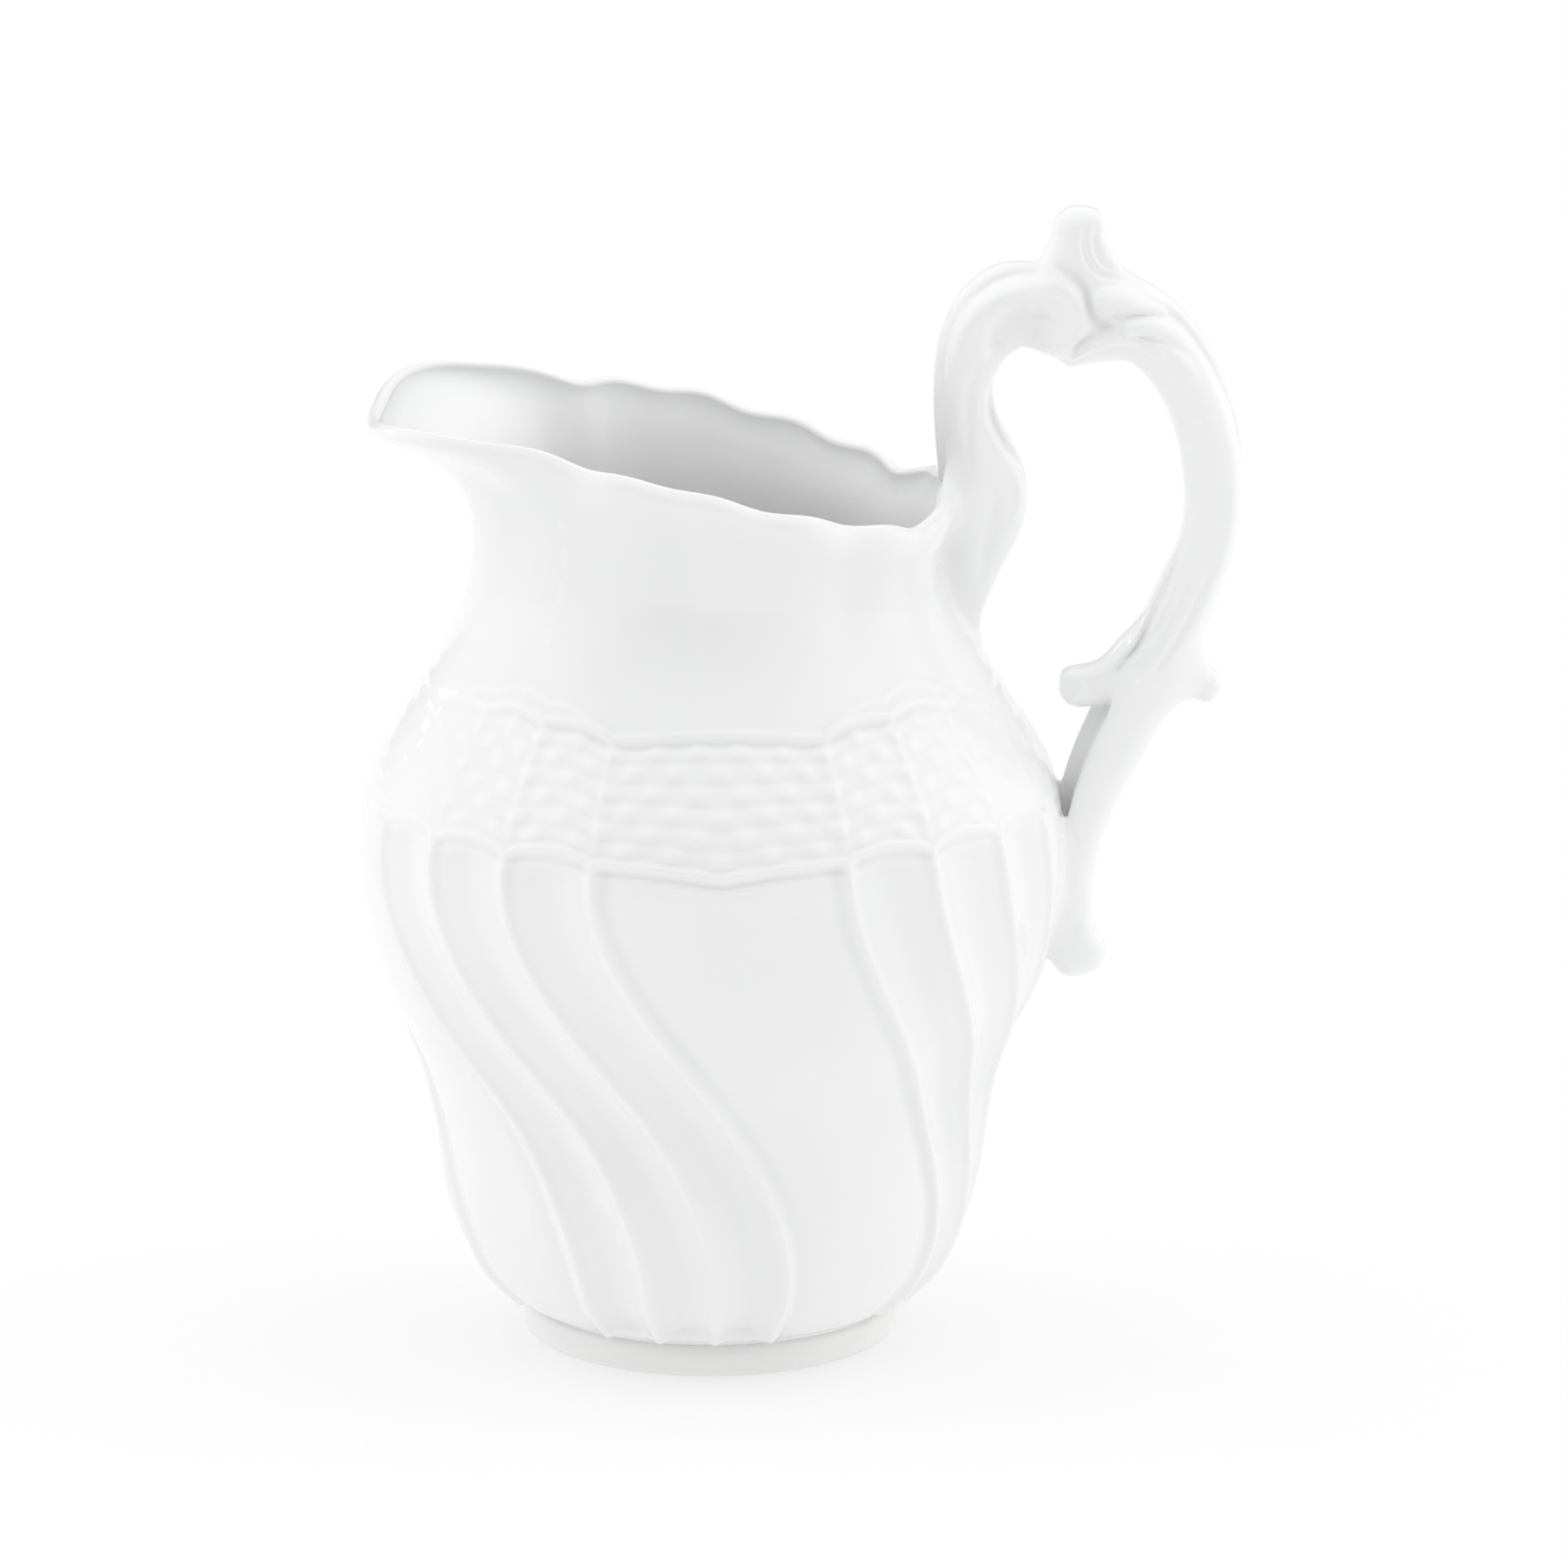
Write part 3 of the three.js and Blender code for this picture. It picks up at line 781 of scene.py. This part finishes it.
def ramp(tree, value, low, high, colour_low, colour_high):
    """A colour that goes from one to another as the value goes from low to high."""
    node = tree.nodes.new("ShaderNodeValToRGB")
    for element, position, colour in zip(
            node.color_ramp.elements, (low, high), (colour_low, colour_high)):
        element.position = position
        element.color = (*colour, 1)
    tree.links.new(value, node.inputs["Fac"])
    return node.outputs["Color"]


def glaze_material(name, thin, thick, roughness):
    """Clear glaze over white porcelain: it pools, slightly darker, in the hollows of the relief."""
    material, tree, principled = shader(name, thin, roughness)
    link = tree.links.new
    geometry = tree.nodes.new("ShaderNodeNewGeometry")
    pooling = ramp(tree, geometry.outputs["Pointiness"], *POOLING_RANGE, thick, thin)
    clouds = ramp(tree, noise(tree, CLOUD_SCALE), 0.3, 0.7, CLOUD_COLOUR, (1, 1, 1))
    tint = tree.nodes.new("ShaderNodeMix")
    tint.data_type = "RGBA"
    tint.blend_type = "MULTIPLY"
    tint.inputs["Factor"].default_value = 1
    link(pooling, tint.inputs["A"])
    link(clouds, tint.inputs["B"])
    link(tint.outputs["Result"], principled.inputs["Base Color"])
    sheen = tree.nodes.new("ShaderNodeMapRange")
    sheen.inputs["To Min"].default_value = roughness * 0.8
    sheen.inputs["To Max"].default_value = roughness * 1.3
    link(noise(tree, SHEEN_SCALE), sheen.inputs["Value"])
    link(sheen.outputs["Result"], principled.inputs["Roughness"])
    ripple = add(tree, "ShaderNodeBump", Strength=RIPPLE_STRENGTH, Distance=RIPPLE_HEIGHT)
    link(noise(tree, RIPPLE_SCALE, 2.0), ripple.inputs["Height"])
    link(ripple.outputs["Normal"], principled.inputs["Normal"])
    return material


# ------------------------------------------------------------------ stage

# Strength of the studio's light by where it comes from
FRONT_LIGHT = 0.38
BACK_LIGHT = 0.55
SIDE_LIGHT = 0.9
RIGHT_LIGHT = 0.03
TOP_LIGHT = 0.65

FLOOR_RADIUS_M = 4.0
FLOOR_COLOUR = (0.5, 0.5, 0.5)
FLOOR_GLOW = 0.48

# A tall lamp behind on the left that shows only as a reflection on the shoulder (metres, watts)
STRIP_PLACE = (-0.9, 1.0, 0.5)
STRIP_TARGET = (0, 0, 0.08)
STRIP_WIDTH = 0.12
STRIP_HEIGHT = 0.3
STRIP_POWER = 0.25


def combine(tree, operation, a, b):
    """The result of a Math node on two sockets, or on a socket and a number."""
    node = tree.nodes.new("ShaderNodeMath")
    node.operation = operation
    for value, socket in zip((a, b), node.inputs):
        if isinstance(value, (int, float)):
            socket.default_value = value
        else:
            tree.links.new(value, socket)
    return node.outputs["Value"]


def make_floor():
    """A wide white disc that the jug stands on."""
    bpy.ops.mesh.primitive_circle_add(vertices=128, radius=FLOOR_RADIUS_M, fill_type="NGON")
    floor = bpy.context.object
    floor.name = "studio_floor"
    material, _, principled = shader("studio_floor_white", FLOOR_COLOUR, 0.9)
    principled.inputs["Specular IOR Level"].default_value = 0.0
    principled.inputs["Emission Color"].default_value = (1, 1, 1, 1)
    principled.inputs["Emission Strength"].default_value = FLOOR_GLOW
    floor.data.materials.append(material)


def slope(tree, value, low, high, dark, bright):
    """An S-curve from dark to bright as the value goes from low to high."""
    node = tree.nodes.new("ShaderNodeMapRange")
    node.interpolation_type = "SMOOTHSTEP"
    for key, number in (("From Min", low), ("From Max", high), ("To Min", dark), ("To Max", bright)):
        node.inputs[key].default_value = number
    tree.links.new(value, node.inputs["Value"])
    return node.outputs["Result"]


def make_world():
    """White studio, brightest at the sides and overhead. The camera itself sees plain white."""
    world = bpy.data.worlds.new("studio")
    bpy.context.scene.world = world
    world.use_nodes = True
    tree = world.node_tree
    tree.nodes.clear()
    link = tree.links.new
    place = tree.nodes.new("ShaderNodeTexCoord")
    parts = tree.nodes.new("ShaderNodeSeparateXYZ")
    link(place.outputs["Generated"], parts.inputs["Vector"])
    x, y, z = (parts.outputs[axis] for axis in "XYZ")
    total = slope(tree, y, -1.0, 0.7, FRONT_LIGHT, BACK_LIGHT)
    total = combine(tree, "ADD", total, slope(tree, z, 0.3, 1.0, 0.0, TOP_LIGHT))
    sideways = combine(tree, "MULTIPLY", x, x)
    total = combine(tree, "ADD", total, combine(tree, "MULTIPLY", sideways, SIDE_LIGHT))
    total = combine(tree, "ADD", total, combine(tree, "MULTIPLY", x, RIGHT_LIGHT))
    lit = add(tree, "ShaderNodeBackground", Color=(1, 1, 1, 1))
    link(total, lit.inputs["Strength"])
    white = add(tree, "ShaderNodeBackground", Color=(1, 1, 1, 1))
    rays = tree.nodes.new("ShaderNodeLightPath")
    mix = tree.nodes.new("ShaderNodeMixShader")
    link(rays.outputs["Is Camera Ray"], mix.inputs["Fac"])
    link(lit.outputs["Background"], mix.inputs[1])
    link(white.outputs["Background"], mix.inputs[2])
    out = tree.nodes.new("ShaderNodeOutputWorld")
    link(mix.outputs["Shader"], out.inputs["Surface"])


def aim(obj, place, target):
    """Puts a lamp or camera at a place, looking at a target."""
    obj.location = place
    obj.rotation_euler = (Vector(target) - Vector(place)).to_track_quat("-Z", "Y").to_euler()


def make_strip_light():
    """The lamp on the left, which gives a gloss highlight and no other light."""
    light = bpy.data.lights.new("left_strip", "AREA")
    light.shape = "RECTANGLE"
    light.size = STRIP_WIDTH
    light.size_y = STRIP_HEIGHT
    light.energy = STRIP_POWER
    light.diffuse_factor = 0.0
    obj = bpy.data.objects.new("left_strip", light)
    bpy.context.scene.collection.objects.link(obj)
    aim(obj, STRIP_PLACE, STRIP_TARGET)


# The photo's angle: distance and target in metres, lens in millimetres
CAMERA_AZIMUTH = math.radians(-2)
CAMERA_ELEVATION = math.radians(14.5)
CAMERA_DISTANCE = 1.4
LENS = 265.0
SENSOR = 36.0
TARGET = (-0.0021, 0.0, 0.0683)


def make_camera():
    """The camera at the photo's viewing angle."""
    camera = bpy.data.cameras.new("photo_camera")
    camera.lens = LENS
    camera.sensor_width = SENSOR
    obj = bpy.data.objects.new("photo_camera", camera)
    bpy.context.scene.collection.objects.link(obj)
    flat = CAMERA_DISTANCE * math.cos(CAMERA_ELEVATION)
    place = (TARGET[0] + flat * math.sin(CAMERA_AZIMUTH), TARGET[1] - flat * math.cos(CAMERA_AZIMUTH),
             TARGET[2] + CAMERA_DISTANCE * math.sin(CAMERA_ELEVATION))
    aim(obj, place, TARGET)
    bpy.context.scene.camera = obj


# ------------------------------------------------------------------ assembly

glaze = glaze_material("porcelain_glaze", (0.95, 0.95, 0.945), (0.9, 0.905, 0.91), 0.1)
# The handle's glaze is the body's porcelain painted a shade whiter, a painted lightening for the handle,
# which the studio light leaves darker than the body.
handle_glaze_painted_lighter = glaze_material("handle_glaze_painted_lighter", (0.98, 0.98, 0.975), (0.93, 0.935, 0.94), 0.1)
slip = glaze_material("slip_under_glaze", (0.97, 0.97, 0.965), (0.92, 0.925, 0.93), 0.11)
foot = glaze_material("foot_porcelain", (0.90, 0.90, 0.89), (0.86, 0.86, 0.85), 0.14)

make_body(glaze)
make_foot_ring(foot)
make_foot_slip(slip)
make_handle(handle_glaze_painted_lighter)
make_upper_slip(slip)
make_lower_slip(slip)

make_floor()
make_world()
make_strip_light()
make_camera()
bpy.context.scene.view_settings.view_transform = "Standard"
